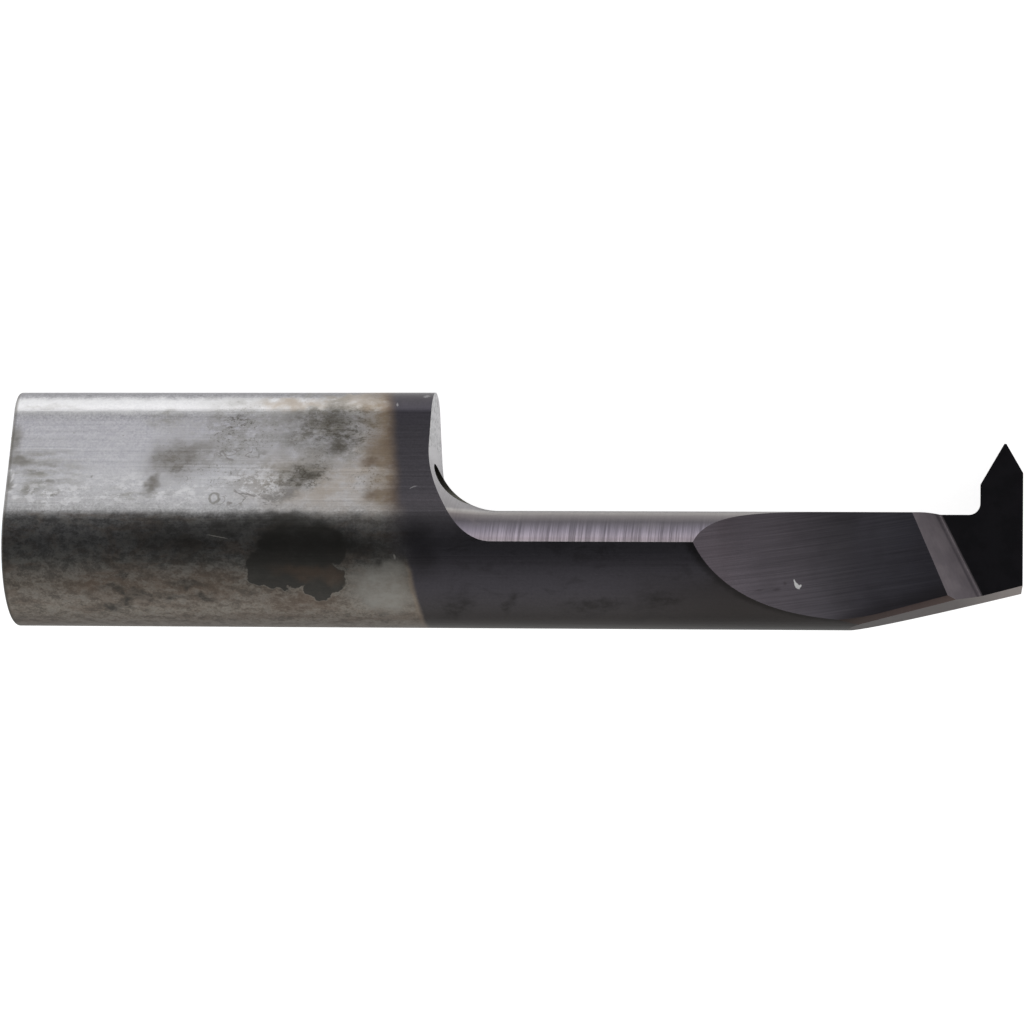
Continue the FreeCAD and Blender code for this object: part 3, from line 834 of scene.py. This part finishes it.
def makeBore():
    tree, place = startMaterial("darkBore")
    grain = tree.noise(place, 6.0, 4.0, 0.6)
    colour = tree.mix(grain, boreFinish["dark"], boreFinish["light"])
    return tree.metal(colour, boreFinish["roughness"], grain, boreFinish["grainDepth"])


zones = {"skin": makeSkin(), "neck": makeNeck(), "face": makeFace(), "flute": makeFlute(),
         "step": makeStep(), "bevel": makeBevel(), "rake": makeRake(), "relief": makeRelief(),
         "bore": makeBore()}
print("materials made")


def paint(faces, zone):
    for face in faces:
        face.material_index = list(zones).index(zone)


def facesTowards(shape, direction):
    return [face for face in shape.faces if face.normal.dot(Vector(direction)) > 0.999]


def drawLine(shape, *points):
    corners = [shape.verts.new(point) for point in points]
    for first, second in zip(corners, corners[1:]):
        shape.edges.new((first, second))


# An arc is one point spun about a centre, anticlockwise for a positive angle
def drawArc(shape, start, centre, angle, steps, axis=(0, 0, 1)):
    point = shape.verts.new(start)
    bmesh.ops.spin(shape, geom=[point], cent=centre, axis=axis, angle=angle, steps=steps)


def weld(shape, distance=0.0001):
    bmesh.ops.remove_doubles(shape, verts=shape.verts, dist=distance)


def fillOutline(shape):
    weld(shape)
    return bmesh.ops.edgeloop_fill(shape, edges=shape.edges)["faces"][0]


def extrudeFace(shape, face, along):
    made = bmesh.ops.extrude_face_region(shape, geom=[face])["geom"]
    moved = [item for item in made if isinstance(item, bmesh.types.BMVert)]
    bmesh.ops.translate(shape, vec=along, verts=moved)
    bmesh.ops.recalc_face_normals(shape, faces=shape.faces)


def asObject(shape, name):
    mesh = bpy.data.meshes.new(name)
    shape.to_mesh(mesh)
    shape.free()
    for material in zones.values():
        mesh.materials.append(material)
    made = bpy.data.objects.new(name, mesh)
    bpy.context.scene.collection.objects.link(made)
    return made


def grind(tool, cutter):
    cut = tool.modifiers.new(cutter.name, "BOOLEAN")
    cut.operation = "DIFFERENCE"
    cut.solver = "EXACT"
    cut.object = cutter
    ready = tool.evaluated_get(bpy.context.evaluated_depsgraph_get())
    before = tool.data
    tool.data = bpy.data.meshes.new_from_object(ready)
    tool.modifiers.clear()
    bpy.data.meshes.remove(before)
    bpy.data.meshes.remove(cutter.data)
    print("ground:", len(tool.data.polygons), "faces")


# Two rounds joined by tangent flats, drawn across the tool and extruded along it
def makeBlank():
    shape = bmesh.new()
    for radius, offset, sweep, steps in (
            (blank["bodyRadius"], 0.0, -(math.pi + 2 * wedgeTilt), blank["roundSteps"]),
            (blank["wedgeRadius"], blank["wedgeOffset"], math.pi - 2 * wedgeTilt,
             blank["wedgeSteps"])):
        start = (0, offset + radius * math.sin(wedgeTilt), -radius * math.cos(wedgeTilt))
        drawArc(shape, start, (0, offset, 0), sweep, steps, axis=(1, 0, 0))
    for side in (-1, 1):
        ends = [(0, offset + radius * math.sin(wedgeTilt), side * radius * math.cos(wedgeTilt))
                for radius, offset in ((blank["bodyRadius"], 0.0),
                                       (blank["wedgeRadius"], blank["wedgeOffset"]))]
        drawLine(shape, *ends)
    extrudeFace(shape, fillOutline(shape), (blank["length"], 0, 0))
    paint(shape.faces, "skin")
    rear = facesTowards(shape, (-1, 0, 0))
    paint(rear, "face")
    bmesh.ops.bevel(shape, geom=rear[0].edges[:], offset=blank["rearRound"],
                    segments=blank["rearSteps"], profile=0.5, affect="EDGES", material=-1)
    return asObject(shape, "groundTool")


notch = {
    "shankLength": 12.6,
    "neckRadius": 2.4,
    "neckCrest": 1.05,
    "neckOffset": 0.44,
    "fillet": 2.0,
    "headFillet": 0.33,
    "headSteps": 12,
    "headWidth": 1.25,
    "clear": 10.0,
    "turnSteps": 240,
    "filletSteps": 36,
}


def notchCutter():
    radius, fillet, headFillet = notch["neckRadius"], notch["fillet"], notch["headFillet"]
    shank = notch["shankLength"]
    head = blank["length"] - notch["headWidth"]
    centre = Vector((0, notch["neckCrest"] - radius, notch["neckOffset"]))

    def at(x, y):
        return centre + Vector((x, y, 0))

    shape = bmesh.new()
    drawArc(shape, at(shank, radius + fillet), at(shank + fillet, radius + fillet), math.pi / 2,
            notch["filletSteps"])
    drawArc(shape, at(head - headFillet, radius), at(head - headFillet, radius + headFillet),
            math.pi / 2, notch["headSteps"])
    drawLine(shape, at(shank + fillet, radius), at(head - headFillet, radius))
    drawLine(shape, at(head, radius + headFillet), at(head, notch["clear"]),
             at(shank, notch["clear"]), at(shank, radius + fillet))
    weld(shape)
    bmesh.ops.spin(shape, geom=shape.edges[:], cent=centre, axis=(1, 0, 0), angle=2 * math.pi,
                   steps=notch["turnSteps"], use_merge=True)
    weld(shape)
    bmesh.ops.recalc_face_normals(shape, faces=shape.faces)
    paint(shape.faces, "neck")
    paint(facesTowards(shape, (-1, 0, 0)), "face")
    return asObject(shape, "notchCutter")


# Profiles are drawn along and up, then turned to stand across the tool
def standCutter(shape, place, skew, roll):
    turned = Matrix.Rotation(math.radians(skew), 4, "Z") @ Matrix.Rotation(math.radians(roll), 4, "X")
    bmesh.ops.transform(shape, matrix=Matrix.Translation(place) @ turned, verts=shape.verts)


def fluteCutter():
    height, wheel, reach = flute["floorHeight"], flute["wheelRadius"], flute["reach"]
    entry = blank["bodyRadius"] + blank["wedgeRadius"]
    sweep = math.acos((wheel + height - entry) / wheel)
    shape = bmesh.new()
    drawArc(shape, (0, height, -reach), (0, height + wheel, -reach), -sweep, flute["wheelSteps"])
    drawLine(shape, (0, height, -reach), (reach, height, -reach), (reach, entry, -reach),
             (-wheel * math.sin(sweep), entry, -reach))
    extrudeFace(shape, fillOutline(shape), (0, 0, 2 * reach))
    paint(shape.faces, "flute")
    standCutter(shape, (blank["length"] - flute["floorRun"], 0, 0), flute["skew"],
                90 - flute["tilt"])
    return asObject(shape, "fluteCutter")


def rakeCutter():
    slope, reach = math.radians(rake["slope"]), rake["reach"]
    foot = rake["footRadius"] * math.tan(slope / 2)
    top = blank["bodyRadius"] + blank["wedgeRadius"]
    shape = bmesh.new()
    drawArc(shape, (foot, 0, -reach), (foot, rake["footRadius"], -reach), -slope,
            rake["footSteps"])
    drawLine(shape, (foot, 0, -reach), (reach, 0, -reach), (reach, top, -reach),
             (-top / math.tan(slope), top, -reach),
             (-foot * math.cos(slope), foot * math.sin(slope), -reach))
    extrudeFace(shape, fillOutline(shape), (0, 0, 2 * reach))
    paint(shape.faces, "step")
    paint(facesTowards(shape, (0, -1, 0)), "rake")
    standCutter(shape, (blank["length"] - rake["length"], 0, 0), rake["skew"], 90)
    return asObject(shape, "rakeCutter")


# The back bevel and the edge bevel are flat, so each is one plane through the tool
def grindBevels(tool):
    slope = math.tan(math.radians(bevels["slope"]))
    start = blank["length"] - bevels["length"]
    lift = bevels["edgeOffset"] * math.tan(math.radians(bevels["tilt"]))
    edgeTurn = math.radians(bevels["edgeTurn"])
    shape = bmesh.new()
    shape.from_mesh(tool.data)
    for place, turn, steepness in (
            ((start, -blank["bodyRadius"], 0), math.radians(bevels["tilt"]), slope),
            ((start, lift - blank["bodyRadius"], bevels["edgeOffset"]), edgeTurn,
             slope * math.cos(edgeTurn))):
        outwards = Matrix.Rotation(-turn, 3, "X") @ Vector((steepness, -1, 0))
        cut = bmesh.ops.bisect_plane(shape, geom=shape.verts[:] + shape.edges[:] + shape.faces[:],
                                     plane_co=place, plane_no=outwards, clear_outer=True)
        rim = [item for item in cut["geom_cut"] if isinstance(item, bmesh.types.BMEdge)]
        paint(bmesh.ops.edgeloop_fill(shape, edges=rim)["faces"], "bevel")
    bmesh.ops.recalc_face_normals(shape, faces=shape.faces)
    shape.to_mesh(tool.data)
    shape.free()


tooth = {
    "height": 3.1,
    "angle": 60.0,
    "setback": 0.525,
    "tipFlat": 0.06,
    "sideRelief": 3.0,
    "tipRelief": 12.0,
    "reach": 15.0,
}


# The space round the tooth at a depth below the rake face: its flanks draw in, its tip drops
def toothSurround(depth):
    half = math.radians(tooth["angle"] / 2)
    length, reach = blank["length"], tooth["reach"]
    tipX = length - tooth["setback"]
    drawnIn = depth * math.tan(math.radians(tooth["sideRelief"]))
    apex = tooth["height"] + tooth["tipFlat"] / 2 / math.tan(half) - drawnIn / math.sin(half)
    tip = tooth["height"] - depth * math.tan(math.radians(tooth["tipRelief"]))
    left = length - notch["headWidth"] + drawnIn
    end = length - drawnIn
    base = notch["neckCrest"] + notch["headFillet"]
    top = tooth["height"] + reach
    behind = length - notch["headWidth"] - notch["headFillet"]
    halfTip = (apex - tip) * math.tan(half)
    return [(left, base), (left, apex - (tipX - left) / math.tan(half)), (tipX - halfTip, tip),
            (tipX + halfTip, tip), (end, apex - (end - tipX) / math.tan(half)), (end, -reach),
            (length + reach, -reach), (length + reach, top), (behind, top), (behind, base)]


def toothCutter():
    shape = bmesh.new()
    edges = []
    for depth in (-tooth["tipFlat"], blank["bodyRadius"] + blank["wedgeRadius"]):
        corners = [shape.verts.new((x, y, -depth)) for x, y in toothSurround(depth)]
        edges += shape.faces.new(corners).edges[:]
    bmesh.ops.bridge_loops(shape, edges=edges)
    bmesh.ops.recalc_face_normals(shape, faces=shape.faces)
    paint(shape.faces, "relief")
    return asObject(shape, "toothCutter")


bore = {
    "y": 1.82,
    "z": 0.73,
    "radius": 0.6,
    "reach": 1.0,
    "steps": 96,
}


def boreCutter():
    end = notch["shankLength"] + notch["fillet"]
    shape = bmesh.new()
    bmesh.ops.create_cone(shape, cap_ends=True, segments=bore["steps"], radius1=bore["radius"],
                          radius2=bore["radius"], depth=end + bore["reach"])
    middle = Matrix.Translation(((end - bore["reach"]) / 2, bore["y"], bore["z"]))
    bmesh.ops.transform(shape, matrix=middle @ Matrix.Rotation(math.pi / 2, 4, "Y"),
                        verts=shape.verts)
    paint(shape.faces, "bore")
    return asObject(shape, "boreCutter")


finish = {
    "sharpFrom": 12.0,  # degrees between faces
    "weld": 0.0002,
}


def makeTool():
    tool = makeBlank()
    grind(tool, notchCutter())
    grind(tool, fluteCutter())
    grind(tool, rakeCutter())
    grindBevels(tool)
    grind(tool, toothCutter())
    grind(tool, boreCutter())
    shape = bmesh.new()
    shape.from_mesh(tool.data)
    weld(shape, finish["weld"])
    bmesh.ops.dissolve_degenerate(shape, edges=shape.edges, dist=finish["weld"])
    openEdges = [edge for edge in shape.edges if not edge.is_manifold]
    print("open edges:", len(openEdges), "volume:", round(shape.calc_volume(), 2))
    bmesh.ops.transform(shape, matrix=toolToRow, verts=shape.verts)
    for face in shape.faces:
        face.smooth = True
    shape.to_mesh(tool.data)
    shape.free()
    tool.data.set_sharp_from_angle(angle=math.radians(finish["sharpFrom"]))
    weighted = tool.modifiers.new("flatNormals", "WEIGHTED_NORMAL")
    weighted.mode = "FACE_AREA"
    weighted.keep_sharp = True
    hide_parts("threading_tool")
    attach(tool, "root")
    print("tool:", len(tool.data.polygons), "faces")


makeTool()


# Studio: a pale floor, a light tent that is dark where the camera looks in, and soft panels
studio = {
    "floorSize": 2.0,
    "floorColour": (0.9, 0.9, 0.9, 1),
    "floorGlow": 0.86,  # as the camera sees it
    # painted reflection: the floor glows for glossy rays only, low under the tool as painted shadow,
    # high behind it
    "floorSheen": (0.05, 0.6),  # as metal mirrors it, under the tool and behind it
    "sheenFrom": (-0.0005, 0.0015),
    "openingTowards": (-0.13, 0.43, 0.89),
    "tentStops": [(0.0, 0.6), (0.17, 0.58), (0.375, 0.48), (0.643, 0.42), (0.777, 0.33),
                  (0.866, 0.24), (0.927, 0.14), (0.978, 0.07), (1.0, 0.055)],
    "panels": [
        # name, place, size, strength
        ("backPanel", (0.0, 0.22, 0.022), (0.7, 0.044), 1.2),
        ("endPanel", (0.25, 0.0, 0.05), (0.3, 0.1), 0.3),
    ],
}


def makeFloor():
    bpy.ops.mesh.primitive_plane_add(size=studio["floorSize"])
    floor = bpy.context.object
    floor.name = "paleFloor"
    material = bpy.data.materials.new("paleFloor")
    tree = NodeTree(material)
    rays = tree.add("ShaderNodeLightPath").outputs
    across = tree.split(tree.add("ShaderNodeTexCoord").outputs["Object"])[1]
    # painted reflection, with painted shadow under the tool
    sheen = tree.spread(tree.step(across, *studio["sheenFrom"]), *studio["floorSheen"])
    seen = tree.sum(tree.product(rays["Is Camera Ray"], studio["floorGlow"]),
                    tree.product(rays["Is Glossy Ray"], sheen))
    matte = tree.add("ShaderNodeBsdfDiffuse", {"Color": studio["floorColour"]}).outputs[0]
    glow = tree.add("ShaderNodeEmission", {"Color": (1, 1, 1, 1), "Strength": seen})
    both = tree.add("ShaderNodeAddShader", {0: matte, 1: glow.outputs[0]}).outputs[0]
    tree.surface(both)
    floor.data.materials.append(material)


def makeTent():
    world = bpy.data.worlds.new("lightTent")
    bpy.context.scene.world = world
    tree = NodeTree(world)
    direction = tree.add("ShaderNodeTexCoord").outputs["Generated"]
    opening = Vector(studio["openingTowards"]).normalized()
    facing = tree.add("ShaderNodeVectorMath", {0: direction, 1: opening},
                      operation="DOT_PRODUCT").outputs["Value"]
    levels = tree.ramp(facing, [(at, (level,) * 3) for at, level in studio["tentStops"]])
    tent = tree.add("ShaderNodeBackground", {"Color": levels, "Strength": 1.0})
    white = tree.add("ShaderNodeBackground", {"Color": (1, 1, 1, 1), "Strength": 1.0})
    rays = tree.add("ShaderNodeLightPath").outputs
    shown = tree.add("ShaderNodeMixShader", {0: rays["Is Camera Ray"], 1: tent.outputs[0],
                                             2: white.outputs[0]})
    output = tree.add("ShaderNodeOutputWorld")
    tree.tree.links.new(shown.outputs[0], output.inputs["Surface"])


def makePanels():
    for name, place, size, strength in studio["panels"]:
        light = bpy.data.lights.new(name, "AREA")
        light.shape = "RECTANGLE"
        light.size, light.size_y = size
        light.energy = strength * math.pi * size[0] * size[1]
        panel = bpy.data.objects.new(name, light)
        panel.matrix_world = (Matrix.Translation(place)
                              @ (-Vector(place)).to_track_quat("-Z", "Y").to_matrix().to_4x4())
        bpy.context.scene.collection.objects.link(panel)


makeFloor()
makeTent()
makePanels()
print("studio made")
